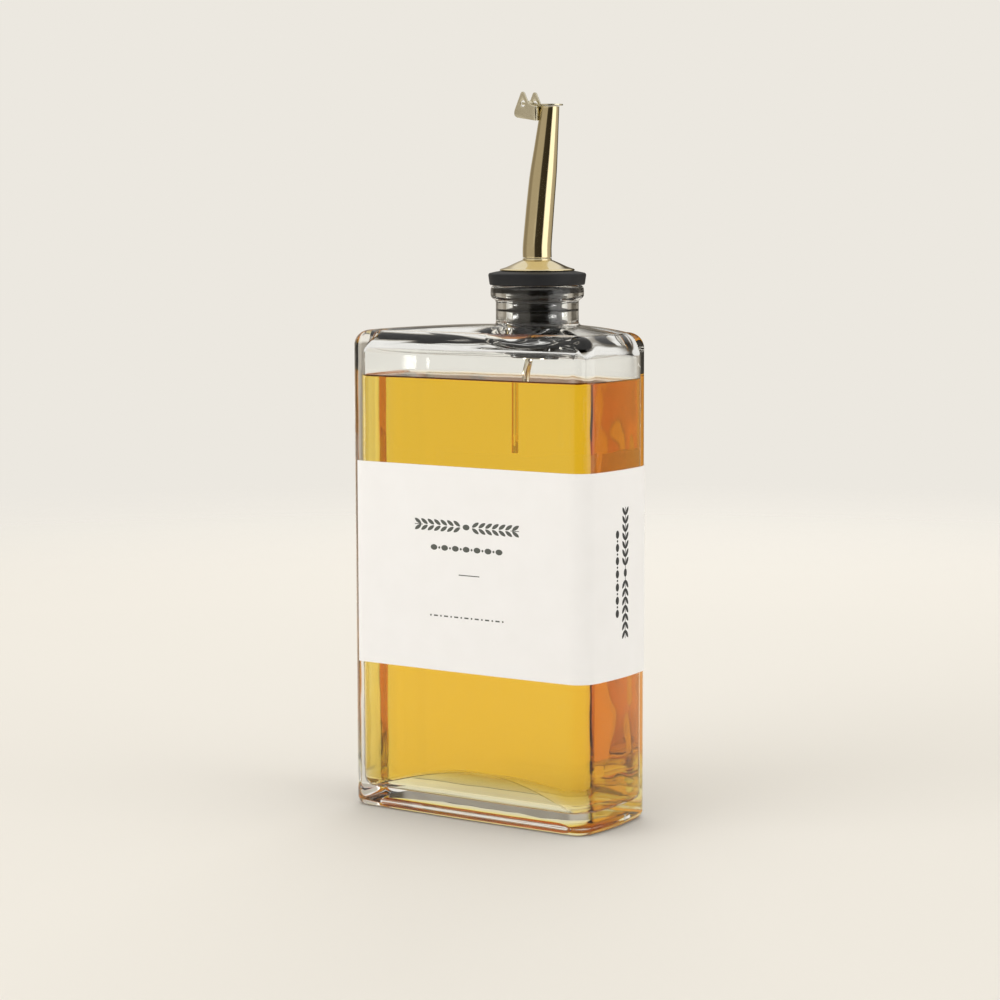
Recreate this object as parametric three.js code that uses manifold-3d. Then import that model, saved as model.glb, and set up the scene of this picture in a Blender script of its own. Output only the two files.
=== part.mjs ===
// Glass oil bottle with a push-in pourer: flat flask, rubber stopper, metal spout with a flap lid.
// Millimetres, +Z up. X runs across the wide face, Y from front to back, and the origin is the
// middle of the base, at the surface that the bottle stands on.
import * as THREE from 'three';
import { mergeVertices } from 'three/addons/utils/BufferGeometryUtils.js';
import Module from 'manifold-3d';

const wasm = await Module();
wasm.setup();

// ---- Flask body: a rounded rectangle in plan, with sides that bow out a little
const BODY_WIDTH = 90;
const BODY_DEPTH = 38.55;
const CORNER_R = 5.4;
const MIN_CORNER_R = 0.6;
const BOW_X = 1.92; // how far the narrow sides bow out
const BOW_Y = 0.53; // how far the wide faces bow out
const CORNER_STEPS = 4;
const WIDE_STEPS = 8;
const NARROW_STEPS = 4;

// ---- Glass, from the base up
const WALL = 3.5;
const BASE_ROUND = 2.5; // outside edge of the base
const RING_WIDTH = 4.2; // flat ring that the bottle stands on
// Hollow under the base, as [share of its outline, height]: steep at its edge, then nearly flat
const PUNT = 3;
const PUNT_PROFILE = [[0.4, 2.95], [0.75, 2.8], [0.92, 2.5], [0.97, 1.6]];
const FLOOR_EDGE = 6.2; // inside floor at its edge
const FLOOR_RISE = 6.6; // how far the floor domes up in the middle
const FLOOR_ROUND = 3;
const SHOULDER_R = 4.8;
const SHOULDER_Z = 150;
const CEILING_Z = 146.2;
const CEILING_R = 4;

// ---- Neck and its bead, off the middle of the body
const NECK_X = 14.7;
const NECK_R = 12.6;
const NECK_FOOT_R = 13.6;
const NECK_FOOT_Z = 152;
const BEAD_R = 14.2;
const BEAD_Z = 160.6;
const MOUTH_Z = 164.3;
const BORE_R = 9.4;
const LIP_ROUND = 0.9;
const ROUND_SEGMENTS = 32; // glass neck
const RING_SEGMENTS = 24; // turned pieces of the pourer

// ---- Oil and label
const OIL_LEVEL = 135.5;
const OIL_GAP = 0.3;
const WELL_R = 5; // clear space in the oil for the breather tube
const WELL_Z = 111;
const LABEL_LOW = 46.3;
const LABEL_HIGH = 109.5;
const LABEL_GAP = 0.1;
const LABEL_THICK = 0.25;
const LABEL_FIRST = 3; // point of the outline where the label starts, on the front left corner
const LABEL_LAST = 22; // and where it ends, on the back right corner

// ---- Rubber stopper
const GAP = 0.3; // left between pieces that touch
const STOPPER_FOOT = 143.9;
const CORE_R = 7.6;
const FIN_R = 9.2;
const FIN_HALF = 0.5;
const FIN_HEIGHTS = [148.5, 152.8, 156.8, 159.8, 162.3];
const RIM_R = 14.9;
const RIM_FOOT_R = 14.4;
const RIM_TOP = 168.8;
const STOPPER_BORE_R = 3.95;

// ---- Metal pourer
const STEM_R = 3.8;
const STEM_WALL = 0.45;
const STEM_TOP = 175.5;
const STEM_FOOT = 143.6;
const DOME_R = 11.4;
const DOME_BORE_R = 4.1;
const COLLAR_FOOT = 171.3;
const COLLAR_TOP = 172.3;
const COLLAR_R = 4.35;
const COLLAR_BORE_R = 4;
const SPOUT_FOOT = 172.6;
const SPOUT_WALL = 0.4;
// Each station of the spout: height, centre along X, outside radius
const SPOUT_STATIONS = [
  [SPOUT_FOOT, NECK_X, 4.4],
  [176, NECK_X, 4.38],
  [182, 15.25, 4.32],
  [190, 16.05, 4.22],
  [198, 16.95, 4.05],
  [206, 17.95, 3.55],
  [217.9, 19.35, 2.8],
];
const BREATHER_R = 1;
const BREATHER_BORE_R = 0.7;
const BREATHER_STEPS = 20;
// The breather runs down inside the stem, then steps outwards below it
const BREATHER_TOP = new THREE.Vector3(12.45, 0, 173);
const BREATHER_BEND = new THREE.Vector3(12.45, 0, 143);
const BREATHER_KNEE = new THREE.Vector3(11.5, 0, 136);
const BREATHER_FOOT = new THREE.Vector3(11.5, 0, 112);

// ---- Hinge and flap lid
const PIN_X = 11.85;
const PIN_Z = 218.85;
const PIN_R = 0.76;
const PIN_HALF_LENGTH = 3.75;
const PIN_HOLE_R = 0.92;
const BARREL_R = 1.35;
const BARREL_BORE_R = 0.87;
const CHEEK_OUTER_Y = 3.6;
const CHEEK_THICK = 0.6;
const WEB_LEFT = 14.6;
const WEB_RIGHT = 16.8;
const WEB_LOW = 213.9;
const WEB_TOP = 217.8;
const LID_X = 19.5;
const LID_R = 3.8;
const LID_LOW = 218.2;
const LID_THICK = 0.5;
const TAB_WIDTH = 3;

// ---- Materials
const metal = (color, roughness) => new THREE.MeshStandardMaterial({ color, roughness, metalness: 1 });
const clearGlass = new THREE.MeshStandardMaterial({
  color: '#eef4f0', roughness: 0.05, metalness: 0, transparent: true, opacity: 0.35,
});
const oliveOil = new THREE.MeshStandardMaterial({ color: '#d99c1c', roughness: 0.1, metalness: 0 });
const paper = new THREE.MeshStandardMaterial({ color: '#f4f2ef', roughness: 0.85, metalness: 0 });
const blackRubber = new THREE.MeshStandardMaterial({ color: '#1b1b1d', roughness: 0.45, metalness: 0 });

// ---- Helpers

// A closed solid through rings of equal point count. A ring of one point is a pole.
// With `loop` the last ring joins the first one, which makes a tube or a band.
function loft(rings, loop = false) {
  const positions = [];
  const starts = rings.map((ring) => {
    const start = positions.length / 3;
    ring.forEach((p) => positions.push(p.x, p.y, p.z));
    return start;
  });
  const count = Math.max(...rings.map((ring) => ring.length));
  const at = (k, i) => starts[k] + (rings[k].length === 1 ? 0 : i % count);
  const index = [];
  const spans = loop ? rings.length : rings.length - 1;
  for (let k = 0; k < spans; k += 1) {
    const next = (k + 1) % rings.length;
    for (let i = 0; i < count; i += 1) {
      if (rings[k].length > 1) index.push(at(k, i), at(k, i + 1), at(next, i));
      if (rings[next].length > 1) index.push(at(k, i + 1), at(next, i + 1), at(next, i));
    }
  }
  const geometry = new THREE.BufferGeometry();
  geometry.setAttribute('position', new THREE.Float32BufferAttribute(positions, 3));
  geometry.setIndex(index);
  geometry.computeVertexNormals();
  return geometry;
}

function toManifold(geometry) {
  const bare = geometry.clone();
  bare.deleteAttribute('normal');
  bare.deleteAttribute('uv');
  const merged = mergeVertices(bare, 1e-4);
  return new wasm.Manifold(new wasm.Mesh({
    numProp: 3,
    vertProperties: new Float32Array(merged.attributes.position.array),
    triVerts: new Uint32Array(merged.index.array),
  }));
}

function fromManifold(solid) {
  const { vertProperties, triVerts } = solid.getMesh();
  const geometry = new THREE.BufferGeometry();
  geometry.setAttribute('position', new THREE.BufferAttribute(new Float32Array(vertProperties), 3));
  geometry.setIndex(new THREE.BufferAttribute(new Uint32Array(triVerts), 1));
  geometry.computeVertexNormals();
  return geometry;
}

// A lathe about the neck's axis. The profile lists [radius, height].
function turned(profile, segments = ROUND_SEGMENTS) {
  const geometry = new THREE.LatheGeometry(profile.map(([r, z]) => new THREE.Vector2(r, z)), segments);
  geometry.rotateX(Math.PI / 2);
  geometry.translate(NECK_X, 0, 0);
  return geometry;
}

// A ring of rectangular or shaped section: the profile is closed on itself
const turnedRing = (profile) => turned([...profile, profile[0]], RING_SEGMENTS);

// A round bar along Y, centred on the hinge pin's axis
function barAlongY(radius, halfLength, segments = 16) {
  const geometry = new THREE.CylinderGeometry(radius, radius, 2 * halfLength, segments);
  geometry.translate(PIN_X, 0, PIN_Z);
  return geometry;
}

function block(low, high) {
  const size = high.clone().sub(low);
  const geometry = new THREE.BoxGeometry(size.x, size.y, size.z);
  geometry.translate(...low.clone().add(high).multiplyScalar(0.5).toArray());
  return geometry;
}

function circle(x, z, radius, segments = 20) {
  return Array.from({ length: segments }, (_, i) => {
    const angle = (2 * Math.PI * i) / segments;
    return new THREE.Vector3(x + radius * Math.cos(angle), radius * Math.sin(angle), z);
  });
}

// ---- Flask outline

// The plan outline at height z, pulled in by `inset`, anticlockwise from above
function bodyRing(inset, z) {
  const halfW = BODY_WIDTH / 2 - inset;
  const halfD = BODY_DEPTH / 2 - inset;
  const r = Math.max(CORNER_R - inset, MIN_CORNER_R);
  const corners = [[-1, -1, Math.PI], [1, -1, 1.5 * Math.PI], [1, 1, 0], [-1, 1, 0.5 * Math.PI]];
  const arcs = corners.map(([sx, sy, from]) => Array.from({ length: CORNER_STEPS + 1 }, (_, i) => {
    const angle = from + (0.5 * Math.PI * i) / CORNER_STEPS;
    const cx = sx * (halfW - r);
    const cy = sy * (halfD - r);
    return new THREE.Vector3(cx + r * Math.cos(angle), cy + r * Math.sin(angle), z);
  }));
  const ring = [];
  arcs.forEach((arc, k) => {
    ring.push(...arc);
    const to = arcs[(k + 1) % 4][0];
    const steps = k % 2 === 0 ? WIDE_STEPS : NARROW_STEPS;
    for (let i = 1; i < steps; i += 1) ring.push(arc[CORNER_STEPS].clone().lerp(to, i / steps));
  });
  ring.forEach((p) => {
    const u = p.x / halfW;
    const v = p.y / halfD;
    p.x -= Math.sign(u) * BOW_X * v * v * Math.abs(u);
    p.y -= Math.sign(v) * BOW_Y * u * u * Math.abs(v);
  });
  return ring;
}

const shrunk = (ring, scale, z) => ring.map((p) => new THREE.Vector3(p.x * scale, p.y * scale, z));

// The same ring drawn towards a circle about the neck's axis, by t from 0 to 1
function towardsNeck(ring, radius, t, z) {
  return ring.map((p) => {
    const away = new THREE.Vector2(p.x - NECK_X, p.y).setLength(radius);
    const x = THREE.MathUtils.lerp(p.x, NECK_X + away.x, t);
    const y = THREE.MathUtils.lerp(p.y, away.y, t);
    return new THREE.Vector3(x, y, z);
  });
}

const quarterTurn = (steps) => Array.from({ length: steps }, (_, i) => (0.5 * Math.PI * (i + 1)) / steps);

// ---- Glass bottle

function flaskOutside() {
  const ringInside = bodyRing(BASE_ROUND + RING_WIDTH, 0);
  const punt = PUNT_PROFILE.map(([s, z]) => shrunk(ringInside, s, z));
  const base = quarterTurn(3).map((a) => (
    bodyRing(BASE_ROUND * (1 - Math.sin(a)), BASE_ROUND * (1 - Math.cos(a)))
  ));
  const wallTop = SHOULDER_Z - SHOULDER_R;
  const shoulder = quarterTurn(4).map((a) => (
    bodyRing(SHOULDER_R * (1 - Math.cos(a)), wallTop + SHOULDER_R * Math.sin(a))
  ));
  const edge = shoulder[shoulder.length - 1];
  return loft([
    [new THREE.Vector3(0, 0, PUNT)],
    ...punt,
    ringInside,
    bodyRing(BASE_ROUND, 0),
    ...base,
    bodyRing(0, wallTop),
    ...shoulder,
    towardsNeck(edge, NECK_FOOT_R, 0.35, SHOULDER_Z + 0.9),
    towardsNeck(edge, NECK_FOOT_R, 0.7, SHOULDER_Z + 1.6),
    towardsNeck(edge, NECK_FOOT_R, 1, NECK_FOOT_Z),
    towardsNeck(edge, NECK_R + 0.3, 1, NECK_FOOT_Z + 0.9),
    towardsNeck(edge, NECK_R - 0.3, 1, NECK_FOOT_Z + 2),
    [new THREE.Vector3(NECK_X, 0, NECK_FOOT_Z + 2)],
  ]);
}

// The inside of the flask below the ceiling, drawn in by `gap`
function hollowRings(gap) {
  const edge = bodyRing(WALL + gap + FLOOR_ROUND, FLOOR_EDGE + gap);
  const floor = [0.3, 0.6, 0.85].map((s) => (
    shrunk(edge, s, FLOOR_EDGE + gap + FLOOR_RISE * (1 - s * s))
  ));
  const rounding = quarterTurn(3).map((a) => bodyRing(
    WALL + gap + FLOOR_ROUND * (1 - Math.sin(a)),
    FLOOR_EDGE + gap + FLOOR_ROUND * (1 - Math.cos(a)),
  ));
  return [[new THREE.Vector3(0, 0, FLOOR_EDGE + gap + FLOOR_RISE)], ...floor, edge, ...rounding];
}

function flaskInside() {
  const wallTop = CEILING_Z - CEILING_R;
  const ceiling = quarterTurn(3).map((a) => (
    bodyRing(WALL + CEILING_R * (1 - Math.cos(a)), wallTop + CEILING_R * Math.sin(a))
  ));
  const edge = ceiling[ceiling.length - 1];
  return loft([
    ...hollowRings(0),
    bodyRing(WALL, wallTop),
    ...ceiling,
    towardsNeck(edge, BORE_R + 0.6, 0.5, CEILING_Z + 1),
    towardsNeck(edge, BORE_R + 0.6, 1, CEILING_Z + 1.8),
    towardsNeck(edge, BORE_R - 0.4, 1, CEILING_Z + 2.6),
    [new THREE.Vector3(NECK_X, 0, CEILING_Z + 2.6)],
  ]);
}

function glassBottle() {
  const neck = turned([
    [0, NECK_FOOT_Z - 2],
    [NECK_R, NECK_FOOT_Z - 2],
    [NECK_R, BEAD_Z - 0.5],
    [BEAD_R - 0.6, BEAD_Z],
    [BEAD_R, BEAD_Z + 0.8],
    [BEAD_R, MOUTH_Z - 1],
    [BEAD_R - 0.8, MOUTH_Z],
    [0, MOUTH_Z],
  ]);
  const bore = turned([
    [0, CEILING_Z + 0.4],
    [BORE_R, CEILING_Z + 0.4],
    [BORE_R, MOUTH_Z - LIP_ROUND],
    [BORE_R + LIP_ROUND, MOUTH_Z],
    [BORE_R + LIP_ROUND, MOUTH_Z + 1],
    [0, MOUTH_Z + 1],
  ]);
  const outside = toManifold(flaskOutside()).add(toManifold(neck));
  const inside = toManifold(flaskInside()).add(toManifold(bore));
  return fromManifold(outside.subtract(inside));
}

function oil() {
  const filled = loft([
    ...hollowRings(OIL_GAP),
    bodyRing(WALL + OIL_GAP, OIL_LEVEL),
    [new THREE.Vector3(0, 0, OIL_LEVEL)],
  ]);
  const wellTop = OIL_LEVEL + 1;
  const well = turned([[0, WELL_Z], [WELL_R, WELL_Z], [WELL_R, wellTop], [0, wellTop]], RING_SEGMENTS);
  return fromManifold(toManifold(filled).subtract(toManifold(well)));
}

// The label starts on the front left corner and runs over the front and the right side
function label() {
  const strip = (inset) => bodyRing(inset, 0).slice(LABEL_FIRST, LABEL_LAST + 1);
  const outline = [...strip(-(LABEL_GAP + LABEL_THICK)), ...strip(-LABEL_GAP).reverse()];
  const shape = new THREE.Shape(outline.map((p) => new THREE.Vector2(p.x, p.y)));
  const geometry = new THREE.ExtrudeGeometry(shape, {
    depth: LABEL_HIGH - LABEL_LOW, bevelEnabled: false,
  });
  geometry.translate(0, 0, LABEL_LOW);
  return geometry;
}

// ---- Stopper and pourer

function stopper() {
  const fins = FIN_HEIGHTS.flatMap((z) => [
    [CORE_R, z - 2 * FIN_HALF],
    [FIN_R, z - FIN_HALF],
    [FIN_R, z + FIN_HALF],
    [CORE_R, z + 2 * FIN_HALF],
  ]);
  return turnedRing([
    [STOPPER_BORE_R, STOPPER_FOOT],
    [CORE_R - 0.6, STOPPER_FOOT],
    [CORE_R, STOPPER_FOOT + 0.8],
    ...fins,
    [CORE_R, MOUTH_Z + GAP],
    [RIM_FOOT_R, MOUTH_Z + GAP],
    [RIM_R, RIM_TOP - 0.4],
    [RIM_R - 0.4, RIM_TOP],
    [STOPPER_BORE_R, RIM_TOP],
  ]);
}

const stem = () => turnedRing([
  [STEM_R, STEM_FOOT],
  [STEM_R, STEM_TOP],
  [STEM_R - STEM_WALL, STEM_TOP],
  [STEM_R - STEM_WALL, STEM_FOOT],
]);

// A low polished bell whose brim rests on the rubber rim
const dome = () => turnedRing([
  [DOME_BORE_R, RIM_TOP + GAP],
  [DOME_R, RIM_TOP + GAP],
  [DOME_R, RIM_TOP + GAP + 0.6],
  [DOME_R - 0.9, RIM_TOP + GAP + 1.1],
  [8, RIM_TOP + GAP + 1.4],
  [6, RIM_TOP + GAP + 1.7],
  [4.9, COLLAR_FOOT - GAP],
  [DOME_BORE_R, COLLAR_FOOT - GAP],
]);

const collar = () => turnedRing([
  [COLLAR_BORE_R, COLLAR_FOOT],
  [COLLAR_R, COLLAR_FOOT],
  [COLLAR_R, COLLAR_TOP],
  [COLLAR_BORE_R, COLLAR_TOP],
]);

// Rings about the spout's centreline, swollen by `grow`
const spoutRings = (grow) => SPOUT_STATIONS.map(([z, x, r]) => circle(x, z, r + grow));

// Up the outside of the spout and back down its bore
const spout = () => loft([...spoutRings(0), ...spoutRings(-SPOUT_WALL).reverse()], true);

// The spout as a solid bar, swollen by `grow`, for cutting its neighbours
function spoutBar(grow) {
  const [lowZ, lowX] = SPOUT_STATIONS[0];
  const [topZ, topX] = SPOUT_STATIONS[SPOUT_STATIONS.length - 1];
  return loft([
    [new THREE.Vector3(lowX, 0, lowZ)],
    ...spoutRings(grow),
    [new THREE.Vector3(topX, 0, topZ)],
  ]);
}

function breather() {
  const section = new THREE.Shape();
  section.absarc(0, 0, BREATHER_R, 0, 2 * Math.PI);
  const bore = new THREE.Path();
  bore.absarc(0, 0, BREATHER_BORE_R, 0, 2 * Math.PI, true);
  section.holes.push(bore);
  const route = new THREE.CurvePath();
  const bend = new THREE.CubicBezierCurve3(
    BREATHER_BEND,
    BREATHER_BEND.clone().add(new THREE.Vector3(0, 0, -3)),
    BREATHER_KNEE.clone().add(new THREE.Vector3(0, 0, 3)),
    BREATHER_KNEE,
  );
  route.add(new THREE.LineCurve3(BREATHER_TOP, BREATHER_BEND));
  route.add(bend);
  route.add(new THREE.LineCurve3(BREATHER_KNEE, BREATHER_FOOT));
  return new THREE.ExtrudeGeometry(section, {
    steps: BREATHER_STEPS, curveSegments: 5, extrudePath: route,
  });
}

// ---- Hinge

// One side plate of the hinge bracket, from its outside face inwards: a foot by the spout and a
// pointed ear above the pin
function cheek(side) {
  const plate = new THREE.Shape();
  plate.moveTo(16.1, 213.5);
  plate.lineTo(16.1, 218);
  plate.lineTo(13.9, 218.7);
  plate.lineTo(12.3, 222.1);
  plate.quadraticCurveTo(11.75, 222.8, 11.2, 222.1);
  plate.lineTo(8.8, 216.4);
  plate.quadraticCurveTo(8.9, 214.8, 10.4, 214.5);
  plate.closePath();
  const geometry = new THREE.ExtrudeGeometry(plate, {
    depth: CHEEK_THICK, bevelEnabled: false, curveSegments: 4,
  });
  geometry.rotateX(Math.PI / 2);
  geometry.translate(0, side > 0 ? CHEEK_OUTER_Y : CHEEK_THICK - CHEEK_OUTER_Y, 0);
  return toManifold(geometry);
}

function bracket() {
  const reach = CHEEK_OUTER_Y - CHEEK_THICK / 2;
  const web = block(
    new THREE.Vector3(WEB_LEFT, -reach, WEB_LOW),
    new THREE.Vector3(WEB_RIGHT, reach, WEB_TOP),
  );
  return fromManifold(
    cheek(-1)
      .add(cheek(1))
      .add(toManifold(web))
      .subtract(toManifold(spoutBar(GAP)))
      .subtract(toManifold(barAlongY(PIN_HOLE_R, 5))),
  );
}

// The lid, its tab and the barrel that turns on the pin
function flap() {
  const lid = new THREE.CylinderGeometry(LID_R, LID_R, LID_THICK, 28);
  lid.rotateX(Math.PI / 2);
  lid.translate(LID_X, 0, LID_LOW + LID_THICK / 2);
  const tab = block(
    new THREE.Vector3(PIN_X, -TAB_WIDTH / 2, LID_LOW),
    new THREE.Vector3(LID_X, TAB_WIDTH / 2, LID_LOW + LID_THICK),
  );
  return fromManifold(
    toManifold(lid)
      .add(toManifold(tab))
      .add(toManifold(barAlongY(BARREL_R, TAB_WIDTH / 2)))
      .subtract(toManifold(barAlongY(BARREL_BORE_R, 5))),
  );
}

// ---- Assembly

const part = new THREE.Group();

function addPart(group, name, geometry, material) {
  const mesh = new THREE.Mesh(geometry, material);
  mesh.name = name;
  group.add(mesh);
}

const flask = new THREE.Group();
addPart(flask, 'glass_bottle', glassBottle(), clearGlass);
addPart(flask, 'olive_oil', oil(), oliveOil);
addPart(flask, 'wrap_label', label(), paper);

const pourer = new THREE.Group();
addPart(pourer, 'rubber_stopper', stopper(), blackRubber);
addPart(pourer, 'inner_stem', stem(), metal('#cfc6ac', 0.25));
addPart(pourer, 'dome_flange', dome(), metal('#e3cf9d', 0.12));
addPart(pourer, 'spout_collar', collar(), metal('#e6d6ab', 0.15));
addPart(pourer, 'spout_tube', spout(), metal('#d9c9a0', 0.12));
addPart(pourer, 'hinge_bracket', bracket(), metal('#d8d0b4', 0.25));
addPart(pourer, 'hinge_pin', barAlongY(PIN_R, PIN_HALF_LENGTH), metal('#cdb67c', 0.25));
addPart(pourer, 'flap_lid', flap(), metal('#dccb9f', 0.18));
addPart(pourer, 'breather_tube', breather(), metal('#cfc6ac', 0.2));

part.add(flask, pourer);

export default part;
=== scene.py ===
"""Glass oil bottle with a push-in pourer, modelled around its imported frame.

Metres. X runs across the wide face, Y from front to back and Z up; the origin is the middle of the
base. Each operator models one piece or one group of like pieces, in the order of the panel.
"""

import math

import bmesh
import bpy
from mathutils import Matrix, Vector, noise


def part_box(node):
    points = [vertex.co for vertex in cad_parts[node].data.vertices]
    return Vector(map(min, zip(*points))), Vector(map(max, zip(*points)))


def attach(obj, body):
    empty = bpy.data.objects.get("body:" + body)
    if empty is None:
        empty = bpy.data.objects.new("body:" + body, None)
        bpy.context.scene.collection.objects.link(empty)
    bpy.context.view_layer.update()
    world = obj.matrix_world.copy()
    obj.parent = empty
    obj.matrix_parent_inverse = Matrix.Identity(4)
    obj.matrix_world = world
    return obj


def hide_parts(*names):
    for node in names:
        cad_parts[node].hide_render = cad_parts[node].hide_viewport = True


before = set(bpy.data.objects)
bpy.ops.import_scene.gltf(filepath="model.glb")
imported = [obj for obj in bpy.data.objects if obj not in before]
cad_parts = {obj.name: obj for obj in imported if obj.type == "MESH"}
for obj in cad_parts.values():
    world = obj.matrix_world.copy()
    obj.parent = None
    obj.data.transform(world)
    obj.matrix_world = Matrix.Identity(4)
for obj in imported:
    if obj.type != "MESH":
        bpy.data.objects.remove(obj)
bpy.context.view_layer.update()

bl_info = {
    "name": "Glass Oil Bottle",
    "version": (1, 0, 0),
    "blender": (4, 5, 0),
    "location": "View3D > Sidebar > Oil Bottle",
    "description": "Models a flat glass oil bottle with a paper label and a metal pourer",
    "category": "Object",
}

MM = 0.001
FLASK_LOW, FLASK_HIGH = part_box("glass_bottle")

# ---- Flask: a rounded rectangle in plan whose sides bow out a little
CORNER_R = 5.4 * MM
MIN_CORNER_R = 0.6 * MM
BOW_X = 1.92 * MM
BOW_Y = 0.53 * MM
CORNER_STEPS = 12
WIDE_STEPS = 60
NARROW_STEPS = 20
BASE_ROUND = 2.5 * MM
RING_WIDTH = 4.2 * MM
PUNT = 3 * MM
FLOOR_EDGE = 6.2 * MM
FLOOR_RISE = 6.6 * MM
FLOOR_ROUND = 3 * MM
SHOULDER_R = 4.8 * MM
SHOULDER_Z = 150 * MM
CEILING_Z = 146.2 * MM
CEILING_R = 4 * MM
UNEVEN = 0.08 * MM  # how far the moulded inside face wanders
UNEVEN_SPAN = 22 * MM

# ---- Neck
NECK_X = 14.7 * MM
NECK_R = 12.6 * MM
NECK_FILLET = 1.3 * MM
NECK_FOOT_Z = 152 * MM
MOUTH_Z = FLASK_HIGH[2]
BORE_R = 9.4 * MM
BORE_FOOT_Z = 149.4 * MM
BORE_FOOT_ROUND = 1.2 * MM

# ---- Oil and label
OIL_IN_GLASS = 0.15 * MM  # the oil reaches this far into the wall, so that it wets the glass
MENISCUS = 0.7 * MM
LABEL_PROUD = 0.3 * MM
LABEL_SUNK = 0.04 * MM
LABEL_FIRST = 9  # point of the outline where the label starts, on the front left corner
LABEL_LAST = 110  # and where it ends, on the back right corner
INK_PROUD = 0.03 * MM
INK_SUNK = 0.03 * MM
LEAF_PAIRS = 7  # on each half of a sprig
LEAF_OFFSET = 0.95  # from the stem, in millimetres
LEAF_LEAN = 32

# ---- Pourer
SPOUT_STATIONS = (  # height, centre along X, outside radius
    (172.6, 14.7, 4.4),
    (176, 14.7, 4.38),
    (182, 15.25, 4.32),
    (190, 16.05, 4.22),
    (198, 16.95, 4.05),
    (206, 17.95, 3.55),
    (217.9, 19.35, 2.8),
)
SPOUT_WALL = 0.4 * MM
PIN_X = 11.85 * MM
PIN_Z = 218.85 * MM

# ---- Studio: what is mirrored, by azimuth in degrees from the front towards the right
HIGH_BAND = (
    (0, 0.5), (8, 0.5), (16, 0.05), (68, 0.04), (76, 1.6), (118, 1.6), (124, 0.6), (165, 0.45),
    (178, 0.08), (206, 0.08), (220, 0.5), (250, 0.5), (262, 0.3), (294, 0.35), (306, 0.5), (360, 0.5),
)
LOW_BAND = (
    (0, 0.7), (6, 0.7), (14, 0.05), (68, 0.04), (76, 1.6), (118, 1.6), (124, 0.6), (165, 0.45),
    (178, 0.08), (206, 0.08), (220, 0.5), (250, 0.5), (262, 0.3), (294, 0.3), (304, 0.4), (312, 0.7),
)
WINDOWS = ((84, 0), (90, 16), (122, 16), (130, 0), (256, 0), (264, 16), (296, 16), (304, 0))
SKY_LEVEL = 0.95
OIL_TRANSMISSIONS = 5.5  # a ray with more of these has been in the oil
OIL_PALE_SHARE = 0.88
NECK_TRANSMISSIONS = 4.0  # a ray with just these has been through both walls of the neck

# Each softbox: name, azimuth, distance, height, width, tall, watts
SOFTBOXES = (
    ("left_softbox", -26, 1.3, 0.35, 1.15, 1.4, 9.8),
    ("right_softbox", 98, 1.3, 0.35, 0.9, 1.4, 3.5),
    ("rear_softbox", 205, 1.3, 0.35, 0.9, 1.4, 7),
)
TOP_SOFTBOX_SIZE = 1.4
TOP_SOFTBOX_WATTS = 2.2
TOP_SOFTBOX_PLACE = (-0.1, 0.2, 1.6)

# ---- Camera: degrees and metres
CAMERA_LENS = 96.78
CAMERA_TURN = 34.01
CAMERA_PITCH = 6.392
CAMERA_ROLL = -0.149
CAMERA_DISTANCE = 0.82731
CAMERA_ACROSS = 0.0007
CAMERA_HEIGHT = 0.190335


# ---- What a user may change


class OilBottleSizes(bpy.types.PropertyGroup):
    """Sizes of the flask, its oil and its label."""

    width: bpy.props.FloatProperty(
        name="Flask width",
        description="Width of the flask across its wide face",
        default=FLASK_HIGH[0] - FLASK_LOW[0],
        unit="LENGTH",
        precision=4,
    )
    depth: bpy.props.FloatProperty(
        name="Flask depth",
        description="Depth of the flask from front to back",
        default=FLASK_HIGH[1] - FLASK_LOW[1],
        unit="LENGTH",
        precision=4,
    )
    wall: bpy.props.FloatProperty(
        name="Glass wall",
        description="Thickness of the glass wall",
        default=3.5 * MM,
        unit="LENGTH",
        precision=4,
    )
    oil_level: bpy.props.FloatProperty(
        name="Oil level",
        description="Height of the oil's surface above the base",
        default=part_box("olive_oil")[1][2],
        unit="LENGTH",
        precision=4,
    )
    label_low: bpy.props.FloatProperty(
        name="Label foot",
        description="Height of the label's lower edge",
        default=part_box("wrap_label")[0][2],
        unit="LENGTH",
        precision=4,
    )
    label_high: bpy.props.FloatProperty(
        name="Label top",
        description="Height of the label's upper edge",
        default=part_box("wrap_label")[1][2],
        unit="LENGTH",
        precision=4,
    )


def linear(code):
    """The linear colour of an sRGB hex code."""
    parts = [int(code[i : i + 2], 16) / 255 for i in (1, 3, 5)]
    return tuple(c / 12.92 if c <= 0.04045 else ((c + 0.055) / 1.055) ** 2.4 for c in parts)


class OilBottleColours(bpy.types.PropertyGroup):
    """Colours of the finishes."""

    glass: bpy.props.FloatVectorProperty(
        name="Glass",
        description="Tint of the clear glass",
        default=linear("#fdfefd"),
        subtype="COLOR",
        min=0,
        max=1,
    )
    oil: bpy.props.FloatVectorProperty(
        name="Oil",
        description="Colour that the oil lets through",
        default=(0.977, 0.84, 0.03),
        subtype="COLOR",
        min=0,
        max=1,
    )
    paper: bpy.props.FloatVectorProperty(
        name="Label paper",
        description="Colour of the label paper",
        default=linear("#f7f6f6"),
        subtype="COLOR",
        min=0,
        max=1,
    )
    rubber: bpy.props.FloatVectorProperty(
        name="Rubber",
        description="Colour of the stopper",
        default=linear("#1a1b1d"),
        subtype="COLOR",
        min=0,
        max=1,
    )
    gold: bpy.props.FloatVectorProperty(
        name="Pale gold",
        description="Colour of the plated spout and dome",
        default=linear("#efe0b6"),
        subtype="COLOR",
        min=0,
        max=1,
    )


# ---- Materials


def add_node(tree, kind, inputs=None, **settings):
    """Adds a node, with its settings, and a value or a link for each named input."""
    node = tree.nodes.new(kind)
    for name, value in settings.items():
        setattr(node, name, value)
    for name, value in (inputs or {}).items():
        if isinstance(value, bpy.types.NodeSocket):
            tree.links.new(value, node.inputs[name])
        else:
            node.inputs[name].default_value = value
    return node


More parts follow.
